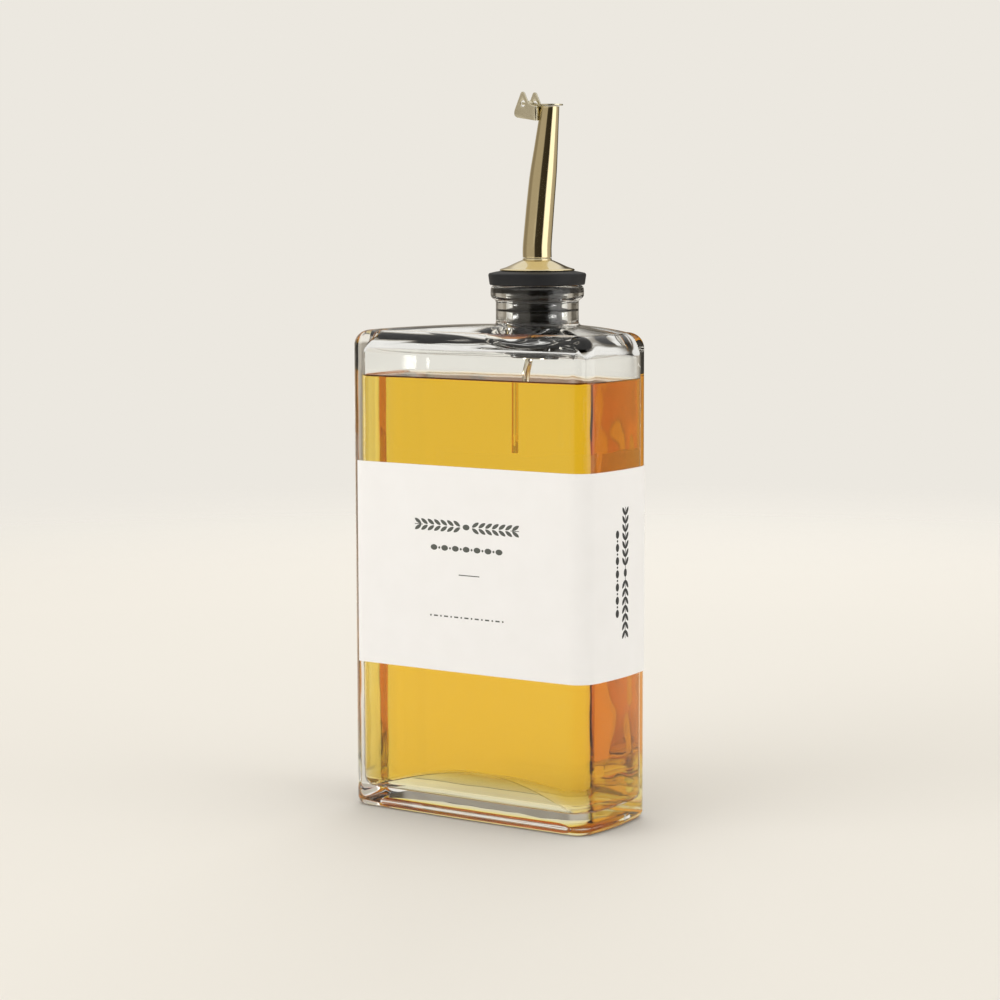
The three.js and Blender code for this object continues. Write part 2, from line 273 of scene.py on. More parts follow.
def start_material(name):
    """An empty node tree and the piece's own coordinates, in metres."""
    material = bpy.data.materials.new(name)
    material.use_nodes = True
    tree = material.node_tree
    tree.nodes.clear()
    place = add_node(tree, "ShaderNodeTexCoord").outputs["Object"]
    return material, tree, place


def rgba(colour):
    return (*colour, 1.0)


def flint_glass(name, wet):
    """Flint glass, blown into a mould: clear, with faint waves that bend the highlights.
    A face wetted by oil sends back no light of its own, so its specular tint is black."""
    material, tree, place = start_material(name)
    waves = add_node(tree, "ShaderNodeTexNoise", {"Vector": place, "Scale": 1 / (19 * MM), "Detail": 1.0})
    bump = add_node(
        tree,
        "ShaderNodeBump",
        {"Height": waves.outputs["Fac"], "Strength": 1.0, "Distance": 0.0 if wet else 0.35 * MM},
    )
    shader = add_node(
        tree,
        "ShaderNodeBsdfPrincipled",
        {
            "Base Color": rgba(bpy.context.scene.oil_bottle_colours.glass),
            "Transmission Weight": 1.0,
            "Roughness": 0.0,
            "IOR": 1.5,
            "Specular Tint": (0, 0, 0, 1) if wet else (1, 1, 1, 1),
            "Normal": bump.outputs["Normal"],
        },
    )
    add_node(tree, "ShaderNodeOutputMaterial", {"Surface": shader.outputs["BSDF"]})
    return material


def olive_oil():
    """Filtered olive oil: clear and golden, and deeper in colour the further light runs through it."""
    material, tree, _ = start_material("filtered_olive_oil")
    shader = add_node(
        tree,
        "ShaderNodeBsdfPrincipled",
        {
            "Base Color": (1, 1, 1, 1),
            "Transmission Weight": 1.0,
            "Roughness": 0.0,
            "IOR": 1.47,
            "Specular Tint": (0, 0, 0, 1),
        },
    )
    body = add_node(
        tree,
        "ShaderNodeVolumeAbsorption",
        {"Color": rgba(bpy.context.scene.oil_bottle_colours.oil), "Density": 100.0},
    )
    add_node(
        tree,
        "ShaderNodeOutputMaterial",
        {"Surface": shader.outputs["BSDF"], "Volume": body.outputs["Volume"]},
    )
    return material


def label_paper(name, glow):
    """Uncoated label paper: off-white and matt, with soft fibres a few tenths of a millimetre wide.
    Its glued back is given a faint painted glow, light of its own, so that it isn't black where it shows
    through the oil."""
    material, tree, place = start_material(name)
    fibres = add_node(tree, "ShaderNodeTexNoise", {"Vector": place, "Scale": 1 / (0.5 * MM), "Detail": 4.0})
    cloud = add_node(tree, "ShaderNodeTexNoise", {"Vector": place, "Scale": 1 / (9 * MM), "Detail": 2.0})
    colour = rgba(bpy.context.scene.oil_bottle_colours.paper)
    shade = add_node(
        tree,
        "ShaderNodeMix",
        {"Factor": cloud.outputs["Fac"], "A": colour, "B": rgba(linear("#f2f1f0"))},
        data_type="RGBA",
    )
    bump = add_node(
        tree, "ShaderNodeBump", {"Height": fibres.outputs["Fac"], "Strength": 0.35, "Distance": 0.03 * MM}
    )
    shader = add_node(
        tree,
        "ShaderNodeBsdfPrincipled",
        {
            "Base Color": shade.outputs[2],
            "Roughness": 0.72,
            "Specular IOR Level": 0.35,
            "Emission Color": rgba(linear("#f6f2ea")),
            "Emission Strength": glow,
            "Normal": bump.outputs["Normal"],
        },
    )
    add_node(tree, "ShaderNodeOutputMaterial", {"Surface": shader.outputs["BSDF"]})
    return material


def printing_ink(name, code):
    """Offset printing ink: a thin satin film that shows a little of the paper through it."""
    material, tree, place = start_material(name)
    mottle = add_node(tree, "ShaderNodeTexNoise", {"Vector": place, "Scale": 1 / (0.35 * MM), "Detail": 3.0})
    ink = linear(code)
    shade = add_node(
        tree,
        "ShaderNodeMix",
        {
            "Factor": mottle.outputs["Fac"],
            "A": rgba([c * 0.85 for c in ink]),
            "B": rgba([c * 1.2 for c in ink]),
        },
        data_type="RGBA",
    )
    shader = add_node(
        tree,
        "ShaderNodeBsdfPrincipled",
        {"Base Color": shade.outputs[2], "Roughness": 0.55},
    )
    add_node(tree, "ShaderNodeOutputMaterial", {"Surface": shader.outputs["BSDF"]})
    return material


def black_rubber():
    """Moulded food-grade rubber: matt on the rim outside, and glossy with oil inside the neck."""
    material, tree, place = start_material("moulded_black_rubber")
    height = add_node(tree, "ShaderNodeSeparateXYZ", {"Vector": place}).outputs["Z"]
    gloss = add_node(
        tree,
        "ShaderNodeMapRange",
        {
            "Value": height,
            "From Min": MOUTH_Z - 0.3 * MM,
            "From Max": MOUTH_Z + 0.3 * MM,
            "To Min": 0.07,
            "To Max": 0.52,
        },
    )
    grain = add_node(tree, "ShaderNodeTexNoise", {"Vector": place, "Scale": 1 / (0.4 * MM), "Detail": 3.0})
    dust = add_node(tree, "ShaderNodeTexNoise", {"Vector": place, "Scale": 1 / (3 * MM), "Detail": 4.0})
    colour = rgba(bpy.context.scene.oil_bottle_colours.rubber)
    shade = add_node(
        tree,
        "ShaderNodeMix",
        {"Factor": dust.outputs["Fac"], "A": colour, "B": rgba(linear("#232427"))},
        data_type="RGBA",
    )
    bump = add_node(
        tree, "ShaderNodeBump", {"Height": grain.outputs["Fac"], "Strength": 0.3, "Distance": 0.03 * MM}
    )
    shader = add_node(
        tree,
        "ShaderNodeBsdfPrincipled",
        {
            "Base Color": shade.outputs[2],
            "Roughness": gloss.outputs["Result"],
            "Specular IOR Level": 0.3,
            "Normal": bump.outputs["Normal"],
        },
    )
    add_node(tree, "ShaderNodeOutputMaterial", {"Surface": shader.outputs["BSDF"]})
    return material


def plated_metal(name, colour, rough, rough_more, wave):
    """Gold-washed steel, drawn and polished: bright, with soft waves and faint handling marks."""
    material, tree, place = start_material(name)
    marks = add_node(tree, "ShaderNodeTexNoise", {"Vector": place, "Scale": 1 / (1.2 * MM), "Detail": 5.0})
    rub = add_node(
        tree,
        "ShaderNodeMapRange",
        {
            "Value": marks.outputs["Fac"],
            "From Min": 0.4,
            "From Max": 0.75,
            "To Min": rough,
            "To Max": rough_more,
        },
    )
    swell = add_node(tree, "ShaderNodeTexNoise", {"Vector": place, "Scale": 1 / (5 * MM), "Detail": 1.0})
    bump = add_node(
        tree, "ShaderNodeBump", {"Height": swell.outputs["Fac"], "Strength": 1.0, "Distance": wave}
    )
    shade = add_node(
        tree,
        "ShaderNodeMix",
        {
            "Factor": marks.outputs["Fac"],
            "A": rgba(colour),
            "B": rgba([c * 0.9 for c in colour]),
        },
        data_type="RGBA",
    )
    shader = add_node(
        tree,
        "ShaderNodeBsdfPrincipled",
        {
            "Base Color": shade.outputs[2],
            "Metallic": 1.0,
            "Roughness": rub.outputs["Result"],
            "Normal": bump.outputs["Normal"],
        },
    )
    add_node(tree, "ShaderNodeOutputMaterial", {"Surface": shader.outputs["BSDF"]})
    return material


def studio_floor():
    """Painted studio floor: pale and even, and lost in the pale air of the studio further off."""
    material, tree, place = start_material("painted_studio_floor")
    cloud = add_node(tree, "ShaderNodeTexNoise", {"Vector": place, "Scale": 2.0, "Detail": 2.0})
    shade = add_node(
        tree,
        "ShaderNodeMix",
        {"Factor": cloud.outputs["Fac"], "A": rgba(linear("#ebe7df")), "B": rgba(linear("#e9e5dd"))},
        data_type="RGBA",
    )
    shader = add_node(
        tree,
        "ShaderNodeBsdfPrincipled",
        {"Base Color": shade.outputs[2], "Roughness": 0.75, "Specular IOR Level": 0.1},
    )
    gone = add_node(tree, "ShaderNodeBsdfTransparent")
    reach = add_node(tree, "ShaderNodeVectorMath", {0: place}, operation="LENGTH")
    fade = add_node(
        tree,
        "ShaderNodeMapRange",
        {"Value": reach.outputs["Value"], "From Min": 0.45, "From Max": 1.0, "To Min": 0.0, "To Max": 1.0},
        interpolation_type="SMOOTHSTEP",
    )
    mixed = add_node(
        tree,
        "ShaderNodeMixShader",
        {0: fade.outputs["Result"], 1: shader.outputs["BSDF"], 2: gone.outputs["BSDF"]},
    )
    add_node(tree, "ShaderNodeOutputMaterial", {"Surface": mixed.outputs["Shader"]})
    return material


# ---- Ways of modelling


def begin(name):
    """Names the new primitive and opens it for editing, with nothing else selected."""
    piece = bpy.context.active_object
    piece.name = name
    piece.data.name = name
    bpy.ops.object.mode_set(mode="EDIT")
    return piece


def add_loop(name, points, filled=False):
    """A closed loop of edges through the points, or a face, open for editing and all selected."""
    bpy.ops.object.select_all(action="DESELECT")
    bpy.ops.mesh.primitive_circle_add(
        vertices=len(points), radius=MM, fill_type="NGON" if filled else "NOTHING"
    )
    piece = begin(name)
    form = bmesh.from_edit_mesh(piece.data)
    form.verts.ensure_lookup_table()
    for vertex, point in zip(form.verts, points):
        vertex.co = point
    bmesh.update_edit_mesh(piece.data)
    return piece


def pick(piece, wanted, kind="VERT"):
    """Selects the vertices, edges or faces that `wanted` says yes to, and nothing else."""
    bpy.ops.mesh.select_mode(type=kind)
    bpy.ops.mesh.select_all(action="DESELECT")
    form = bmesh.from_edit_mesh(piece.data)
    parts = {"VERT": form.verts, "EDGE": form.edges, "FACE": form.faces}[kind]
    for part in parts:
        if wanted(part):
            part.select_set(True)
    form.select_flush_mode()
    bmesh.update_edit_mesh(piece.data)


def extrude_to(piece, points, order):
    """Extrudes the selected loop of edges and lays the new loop on the points. `order` gives each
    vertex's number by its place, and what comes back is the same for the new loop."""
    bpy.ops.mesh.extrude_edges_move()
    form = bmesh.from_edit_mesh(piece.data)
    for vertex in form.verts:
        if vertex.select:
            vertex.co = points[order[tuple(vertex.co)]]
    bmesh.update_edit_mesh(piece.data)
    form = bmesh.from_edit_mesh(piece.data)
    exact = {tuple(Vector(p)): i for i, p in enumerate(points)}
    return {tuple(v.co): exact[tuple(v.co)] for v in form.verts if v.select}


def grow(name, rings, low_pole=None, high_pole=None, bridged=False, capped=False):
    """A skin that starts as one loop and is extruded from ring to ring. Its ends are drawn to a
    point each, filled, or joined to each other."""
    piece = add_loop(name, rings[0])
    form = bmesh.from_edit_mesh(piece.data)
    form.verts.ensure_lookup_table()
    first = {tuple(v.co): i for i, v in enumerate(form.verts)}
    order = first
    for points in rings[1:]:
        order = extrude_to(piece, points, order)
    last = set(order)
    for pole, loop in ((high_pole, last), (low_pole, set(first))):
        if pole is not None:
            pick(piece, lambda v: tuple(v.co) in loop)
            bpy.ops.mesh.extrude_edges_move()
            form = bmesh.from_edit_mesh(piece.data)
            for vertex in form.verts:
                if vertex.select:
                    vertex.co = pole
            bmesh.update_edit_mesh(piece.data)
            bpy.ops.mesh.merge(type="CENTER")
    if bridged:
        pick(piece, lambda v: tuple(v.co) in last or tuple(v.co) in first)
        bpy.ops.mesh.bridge_edge_loops()
    if capped:
        for loop in (last, set(first)):
            pick(piece, lambda v: tuple(v.co) in loop)
            bpy.ops.mesh.edge_face_add()
    face_outwards()
    return piece


def face_outwards():
    bpy.ops.mesh.select_all(action="SELECT")
    bpy.ops.mesh.remove_doubles(threshold=1e-7)
    bpy.ops.mesh.normals_make_consistent(inside=False)


def turned(name, profile, centre_x=NECK_X, steps=128):
    """A ring turned on the neck's axis from a closed profile of radius and height in millimetres."""
    piece = add_loop(name, [(centre_x + r * MM, 0, z * MM) for r, z in profile])
    bpy.ops.mesh.spin(steps=steps, angle=2 * math.pi, center=(centre_x, 0, 0), axis=(0, 0, 1))
    bpy.ops.mesh.select_all(action="SELECT")
    bpy.ops.mesh.remove_doubles(threshold=1e-6)
    bpy.ops.mesh.normals_make_consistent(inside=False)
    return piece


def plate(name, outline, along):
    """A flat plate: the outline filled and extruded."""
    piece = add_loop(name, outline, filled=True)
    bpy.ops.mesh.extrude_region_move(TRANSFORM_OT_translate={"value": along})
    face_outwards()
    return piece


def only(piece):
    if bpy.context.mode != "OBJECT":
        bpy.ops.object.mode_set(mode="OBJECT")
    bpy.ops.object.select_all(action="DESELECT")
    piece.select_set(True)
    bpy.context.view_layer.objects.active = piece


def modify(piece, kind, **settings):
    """Adds a modifier and applies it."""
    only(piece)
    modifier = piece.modifiers.new(kind.lower(), kind)
    for name, value in settings.items():
        setattr(modifier, name, value)
    bpy.ops.object.modifier_apply(modifier=modifier.name)


def round_edges(piece, width, segments=3, angle=35):
    modify(
        piece,
        "BEVEL",
        width=width,
        segments=segments,
        limit_method="ANGLE",
        angle_limit=math.radians(angle),
        use_clamp_overlap=True,
    )


def combine(piece, tool, operation):
    """Joins the tool to the piece or cuts it out, and throws the tool away."""
    modify(piece, "BOOLEAN", operation=operation, object=tool, solver="EXACT")
    bpy.data.objects.remove(tool)


def finish_piece(piece, body, node, materials, smooth=35):
    """Shades the piece, gives it its materials, hangs it on its body's empty and hides the imported part it
    replaces.
    """
    only(piece)
    bpy.ops.object.shade_smooth_by_angle(angle=math.radians(smooth))
    piece.data.materials.clear()
    for material in materials:
        piece.data.materials.append(material)
    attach(piece, body)
    if node:
        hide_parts(node)


def quarter(steps):
    return [0.5 * math.pi * (i + 1) / steps for i in range(steps)]


def spread(low, high, count):
    """Evenly spaced values after `low`, up to `high`."""
    return [low + (high - low) * (i + 1) / count for i in range(count)]


# ---- The flask's outline


def flask_loop(inset, z, uneven=0.0):
    """The plan outline at height z, drawn in by `inset`, anticlockwise from above. The inside face
    wanders by `uneven`, as a moulded wall does."""
    sizes = bpy.context.scene.oil_bottle_sizes
    half_w = sizes.width / 2 - inset
    half_d = sizes.depth / 2 - inset
    r = max(CORNER_R - inset, MIN_CORNER_R)
    corners = ((-1, -1, math.pi), (1, -1, 1.5 * math.pi), (1, 1, 0.0), (-1, 1, 0.5 * math.pi))
    loop = []
    arcs = []
    for side_x, side_y, start in corners:
        arc = []
        for i in range(CORNER_STEPS + 1):
            angle = start + 0.5 * math.pi * i / CORNER_STEPS
            arc.append(
                (side_x * (half_w - r) + r * math.cos(angle), side_y * (half_d - r) + r * math.sin(angle))
            )
        arcs.append(arc)
    for k, arc in enumerate(arcs):
        loop.extend(arc)
        steps = WIDE_STEPS if k % 2 == 0 else NARROW_STEPS
        (ax, ay), (bx, by) = arc[-1], arcs[(k + 1) % 4][0]
        loop.extend((ax + (bx - ax) * i / steps, ay + (by - ay) * i / steps) for i in range(1, steps))
    bowed = []
    for x, y in loop:
        u, v = x / half_w, y / half_d
        x -= math.copysign(BOW_X * v * v * abs(u), u)
        y -= math.copysign(BOW_Y * u * u * abs(v), v)
        bowed.append(Vector((x, y, z)))
    if not uneven:
        return bowed
    count = len(bowed)
    for i in range(count):
        before, point, after = bowed[i - 1], bowed[i], bowed[(i + 1) % count]
        outward = Vector((after.y - before.y, before.x - after.x, 0)).normalized()
        wander = noise.noise(point / UNEVEN_SPAN) + 0.4 * noise.noise(point / (0.45 * UNEVEN_SPAN))
        loop[i] = point + outward * (uneven * wander)
    return loop


def drawn_in(loop, scale, z):
    return [Vector((p.x * scale, p.y * scale, z)) for p in loop]


def towards_neck(loop, radius, share, z):
    """The loop drawn towards a circle about the neck's axis."""
    points = []
    for p in loop:
        away = Vector((p.x - NECK_X, p.y)).normalized() * radius
        points.append(
            Vector((p.x + (NECK_X + away.x - p.x) * share, p.y + (away.y - p.y) * share, z))
        )
    return points


def on_neck(loop, profile):
    return [towards_neck(loop, r, 1.0, z) for r, z in profile]


def inside_loops(inset, floor_drop, top):
    """Rings of the flask's inside from the middle of its floor up to height `top`."""
    edge_z = FLOOR_EDGE - floor_drop
    edge = flask_loop(inset + FLOOR_ROUND, edge_z)
    rings = [
        drawn_in(edge, s, edge_z + FLOOR_RISE * (1 - s * s))
        for s in (0.05, 0.14, 0.24, 0.34, 0.44, 0.54, 0.64, 0.73, 0.81, 0.88, 0.94)
    ]
    rings.append(edge)
    for angle in quarter(8):
        rings.append(
            flask_loop(
                inset + FLOOR_ROUND * (1 - math.sin(angle)),
                edge_z + FLOOR_ROUND * (1 - math.cos(angle)),
                UNEVEN * math.sin(angle),
            )
        )
    for z in spread(edge_z + FLOOR_ROUND, top, 32):
        rings.append(flask_loop(inset, z, UNEVEN))
    return rings


# ---- Pieces


class OILBOTTLE_OT_flask(bpy.types.Operator):
    """Model the glass flask as one skin, outside and inside"""

    bl_idname = "oil_bottle.flask"
    bl_label = "Glass flask"

    def execute(self, context):
        sizes = context.scene.oil_bottle_sizes
        wall = sizes.wall
        wet_top = sizes.oil_level + MENISCUS
        under = flask_loop(BASE_ROUND + RING_WIDTH, 0)
        hollow = (
            (0.06, 2.99), (0.2, 2.97), (0.4, 2.93), (0.55, 2.87), (0.7, 2.79), (0.8, 2.71), (0.87, 2.6),
            (0.91, 2.45), (0.938, 2.2), (0.955, 1.85), (0.967, 1.4), (0.977, 0.8), (0.986, 0.25),
        )
        rings = [drawn_in(under, share, z * MM) for share, z in hollow]
        rings.append(drawn_in(under, 0.995, 0.04 * MM))
        rings.append(flask_loop(BASE_ROUND + RING_WIDTH - 0.5 * MM, 0))
        rings.append(flask_loop(BASE_ROUND, 0))
        for angle in quarter(8):
            rings.append(
                flask_loop(BASE_ROUND * (1 - math.sin(angle)), BASE_ROUND * (1 - math.cos(angle)))
            )
        wall_top = SHOULDER_Z - SHOULDER_R
        rings += [flask_loop(0, z) for z in spread(BASE_ROUND, wall_top, 30)]
        for angle in quarter(12):
            rings.append(
                flask_loop(
                    SHOULDER_R * (1 - math.cos(angle)), wall_top + SHOULDER_R * math.sin(angle)
                )
            )
        shoulder = rings[-1]
        foot_r = NECK_R + NECK_FILLET
        for share in spread(0, 1, 12):
            z = SHOULDER_Z + (NECK_FOOT_Z - SHOULDER_Z) * (1 - (1 - share) ** 1.5)
            rings.append(towards_neck(shoulder, foot_r, share, z))
        fillet = [
            (foot_r - NECK_FILLET * math.sin(a), NECK_FOOT_Z + NECK_FILLET * (1 - math.cos(a)))
            for a in quarter(6)
        ]
        outside = [
            (12.6, 156), (12.6, 159), (12.68, 159.5), (12.95, 159.9), (13.4, 160.15), (13.85, 160.5),
            (14.12, 161), (14.2, 161.6), (14.2, 162.6), (14.15, 163.2), (13.97, 163.7),
            (13.65, 164.05), (13.2, 164.25), (12.6, 164.3), (11.6, 164.3), (10.7, 164.28),
            (10.1, 164.1), (9.65, 163.75), (9.45, 163.3), (9.4, 162.8),
        ]
        profile = [(r * MM, z * MM) for r, z in outside]
        profile += [(BORE_R, z) for z in spread(162.8 * MM, BORE_FOOT_Z, 6)]
        rings += on_neck(shoulder, fillet + profile)
        ceiling = flask_loop(wall + CEILING_R, CEILING_Z)
        lip = BORE_FOOT_ROUND
        rings += on_neck(
            ceiling,
            [(BORE_R + lip * (1 - math.cos(a)), BORE_FOOT_Z - lip * math.sin(a)) for a in quarter(5)],
        )
        bore_foot = BORE_FOOT_Z - lip
        for share in reversed(spread(0, 1, 12)[:-1]):
            z = CEILING_Z + (bore_foot - CEILING_Z) * (1 - (1 - share) ** 1.5)
            rings.append(towards_neck(ceiling, BORE_R + lip, share, z))
        rings.append(ceiling)
        for angle in reversed(quarter(10)[:-1]):
            rings.append(
                flask_loop(
                    wall + CEILING_R * (1 - math.cos(angle)),
                    CEILING_Z - CEILING_R + CEILING_R * math.sin(angle),
                    UNEVEN * math.cos(angle),
                )
            )
        rings.append(flask_loop(wall, CEILING_Z - CEILING_R, UNEVEN))
        rings.append(flask_loop(wall, (CEILING_Z - CEILING_R + wet_top) / 2, UNEVEN))
        rings += reversed(inside_loops(wall, 0, wet_top))
        piece = grow(
            "flask",
            rings,
            low_pole=(0, 0, PUNT),
            high_pole=(0, 0, FLOOR_EDGE + FLOOR_RISE),
        )
        inner_w = sizes.width / 2 - 0.7 * wall
        inner_d = sizes.depth / 2 - 0.7 * wall

        def wetted(face):
            middle = face.calc_center_median()
            within = abs(middle.x) < inner_w and abs(middle.y) < inner_d
            return within and FLOOR_EDGE - 0.1 * MM < middle.z < wet_top

        dry = flint_glass("moulded_flint_glass", wet=False)
        wet = flint_glass("flint_glass_wetted_by_oil", wet=True)
        finish_piece(piece, "bottle", "glass_bottle", [dry, wet])
        bpy.ops.object.mode_set(mode="EDIT")
        pick(piece, wetted, "FACE")
        piece.active_material_index = 1
        bpy.ops.object.material_slot_assign()
        bpy.ops.object.mode_set(mode="OBJECT")
        return {"FINISHED"}


class OILBOTTLE_OT_oil(bpy.types.Operator):
    """Model the oil, which wets the inside of the flask and climbs a little at the glass"""

    bl_idname = "oil_bottle.oil"
    bl_label = "Olive oil"

    def execute(self, context):
        sizes = context.scene.oil_bottle_sizes
        inset = sizes.wall - OIL_IN_GLASS
        top = sizes.oil_level + MENISCUS
        rings = inside_loops(inset, OIL_IN_GLASS, top)
        for away, climb in ((0.25, 0.62), (0.5, 0.4), (0.9, 0.2), (1.5, 0.07), (2.4, 0.0)):
            z = sizes.oil_level + MENISCUS * climb
            rings.append(flask_loop(inset + away * MM, z, UNEVEN * (1 - away / 2.5)))
        surface = flask_loop(inset + 2.4 * MM, sizes.oil_level)
        rings += [drawn_in(surface, s, sizes.oil_level) for s in (0.8, 0.5, 0.2)]
        piece = grow(
            "oil",
            rings,
            low_pole=(0, 0, FLOOR_EDGE - OIL_IN_GLASS + FLOOR_RISE),
            high_pole=(0, 0, sizes.oil_level),
        )
        finish_piece(piece, "bottle", "olive_oil", [olive_oil()])
        return {"FINISHED"}


def on_front(across, up, lift):
    """A point on the label's front, bowed as the paper is."""
    sizes = bpy.context.scene.oil_bottle_sizes
    u = across / (sizes.width / 2 + LABEL_PROUD - BOW_X)
    return Vector((across, BOW_Y * u * u - sizes.depth / 2 - LABEL_PROUD - lift, up))


def on_side(across, up, lift):
    """A point on the label's side panel, whose pattern runs upwards."""
    sizes = bpy.context.scene.oil_bottle_sizes
    v = up / (sizes.depth / 2 + LABEL_PROUD - BOW_Y)
    return Vector((sizes.width / 2 + LABEL_PROUD - BOW_X * v * v + lift, up, across))


def oval(length, width, point=1.0, count=14):
    """An oval outline, or a leaf's if its ends are drawn to a point."""
    found = []
    for i in range(count):
        angle = 2 * math.pi * i / count
        rise = math.sin(angle) * abs(math.sin(angle)) ** (point - 1)
        found.append((0.5 * length * math.cos(angle), 0.5 * width * rise))
    return found


def print_motifs(name, motifs, marks, lay):
    """Copies each flat motif to its marks, joins them all and lays them on the paper."""
    copies = []
    for key, outline in motifs.items():
        corners = [Vector((x * MM, 0, y * MM)) for x, y in outline]
        motif = plate(key, corners, (0, INK_PROUD + INK_SUNK, 0))
        bpy.ops.object.mode_set(mode="OBJECT")
        for across, up, turn in marks[key]:
            copy = bpy.data.objects.new(f"{key}_{len(copies)}", motif.data.copy())
            bpy.context.scene.collection.objects.link(copy)
            copy.data.transform(
                Matrix.Translation(Vector((across * MM, 0, up * MM)))
                @ Matrix.Rotation(math.radians(-turn), 4, "Y")
            )
            copies.append(copy)
        bpy.data.objects.remove(motif)
    only(copies[0])
    for copy in copies:
        copy.select_set(True)
    bpy.ops.object.join()
    piece = bpy.context.active_object
    piece.name = name
    piece.data.name = name
    for vertex in piece.data.vertices:
        across, depth, up = vertex.co
        vertex.co = lay(across, up, depth - INK_SUNK)
    bpy.ops.object.mode_set(mode="EDIT")
    bpy.ops.mesh.select_all(action="SELECT")
    bpy.ops.mesh.normals_make_consistent(inside=False)
    bpy.ops.object.mode_set(mode="OBJECT")
    return piece


def bar(half_length, half_width):
    """The outline of a short straight stroke."""
    return [
        (-half_length, -half_width), (half_length, -half_width), (half_length, half_width),
        (-half_length, half_width),
    ]


def sprig_marks(start, length, height, lean):
    """Where the leaves of half an olive sprig sit along its stem: across, up and turn."""
    found = []
    for i in range(LEAF_PAIRS):
        along = start + length * (i + 0.5) / LEAF_PAIRS
        found.append((along, height + LEAF_OFFSET, lean))
        found.append((along, height - LEAF_OFFSET, -lean))
    return found


def sprig_and_olives(middle, half_stem, half_sprig, sprig_at, olives_at):
    """Marks of a sprig and of the row of olives beside it, about `middle`, in millimetres."""
    left = sprig_marks(middle - half_stem, half_sprig, sprig_at, 180 - LEAF_LEAN)
    right = sprig_marks(middle + 2.2, half_sprig, sprig_at, LEAF_LEAN)
    return {
        "leaf": left + right,
        "olive": [(middle - 12 + 4 * i, olives_at, 0) for i in range(7)] + [(middle, sprig_at, 0)],
        "berry": [(middle - 10 + 4 * i, olives_at, 0) for i in range(6)],
        "stem": [(middle, sprig_at, 0)],
    }


def sprig_motifs(half_stem):
    return {
        "leaf": oval(2.9, 1.15, 1.5),
        "olive": oval(2.5, 1.75),
        "berry": oval(0.75, 0.75, count=10),
        "stem": bar(half_stem, 0.11),
    }


class OILBOTTLE_OT_label(bpy.types.Operator):
    """Model the paper label and print an olive sprig pattern on its front and side"""

    bl_idname = "oil_bottle.label"
    bl_label = "Label and print"

    def execute(self, context):
        sizes = context.scene.oil_bottle_sizes
        outer = flask_loop(-LABEL_PROUD, 0)
        inner = flask_loop(LABEL_SUNK, 0)
        heights = (sizes.label_low, sizes.label_high)
        sections = []
        for i in range(LABEL_FIRST, LABEL_LAST + 1):
            corners = ((outer[i], 0), (outer[i], 1), (inner[i], 1), (inner[i], 0))
            sections.append([Vector((p.x, p.y, heights[k])) for p, k in corners])
        piece = grow("label", sections, capped=True)
        # The glued back gets a painted glow: emission of strength 0.4, light of its own
        faces = [label_paper("uncoated_label_paper", 0.0), label_paper("label_paper_back_painted_glow", 0.4)]
        finish_piece(piece, "bottle", "wrap_label", faces)
        glued = {(round(p.x, 6), round(p.y, 6)) for p in inner}
        bpy.ops.object.mode_set(mode="EDIT")
        pick(
            piece, lambda f: all((round(v.co.x, 6), round(v.co.y, 6)) in glued for v in f.verts), "FACE"
        )
        piece.active_material_index = 1
        bpy.ops.object.material_slot_assign()
        bpy.ops.object.mode_set(mode="OBJECT")

        # Front: a sprig, a row of olives, a thin rule and a row of fine dots
        motifs = sprig_motifs(19.2)
        motifs["rule"] = bar(3.8, 0.14)
        motifs["dot"] = oval(0.62, 0.62, count=8)
        motifs["dash"] = bar(0.75, 0.22)
        centre = 1.6
        dots = [(centre - 13.3 + 1.9 * i, 63.3, 0) for i in range(15)]
        marks = sprig_and_olives(centre, 19.2, 17.0, 91.2, 84.4)
        marks["rule"] = [(centre + 1, 76.4, 0)]
        marks["dot"] = dots[::2]
        marks["dash"] = dots[1::2]
        front = print_motifs("label_print", motifs, marks, on_front)
        finish_piece(front, "bottle", None, [printing_ink("grey_printing_ink", "#565954")])

        # Side: the same sprig and olives, running up the bottle
        motifs = sprig_motifs(20)
        marks = sprig_and_olives(78.2, 20, 17.8, 1.6, -2.9)
        side = print_motifs("side_print", motifs, marks, on_side)
        finish_piece(side, "bottle", None, [printing_ink("black_printing_ink", "#2b2c2c")])
        return {"FINISHED"}


# ---- Pourer


class OILBOTTLE_OT_stopper(bpy.types.Operator):
    """Turn the finned rubber stopper"""

    bl_idname = "oil_bottle.stopper"
    bl_label = "Rubber stopper"

    def execute(self, context):
        profile = [(3.85, 143.9), (6.6, 143.9), (7.3, 144.6), (7.4, 145.6)]
        # Each fin: height, reach and half its thickness
        fins = (
            (148.5, 9.2, 0.5), (152.8, 9.3, 0.45), (156.8, 9.46, 0.5), (159.4, 8.8, 0.25),
            (162.3, 9.46, 0.5),
        )
        for z, reach, half in fins:
            profile += [
                (7.5, z - half - 0.4), (7.75, z - half - 0.28), (reach - 0.3, z - half),
                (reach, z - half + 0.2), (reach, z + half - 0.2), (reach - 0.3, z + half),
                (7.75, z + half + 0.28), (7.5, z + half + 0.4),
            ]
        profile += [
            (7.5, 163.7), (7.75, 164.15), (8.3, 164.36), (14.25, 164.36), (14.5, 164.6), (14.88, 167.3),
            (14.78, 167.7), (14.5, 167.95), (12.6, 168.35), (11.2, 168.6), (9, 168.95), (3.85, 169.0),
        ]
        piece = turned("stopper", profile)
        round_edges(piece, 0.12 * MM, segments=2, angle=28)
        finish_piece(piece, "stopper", "rubber_stopper", [black_rubber()])
        return {"FINISHED"}


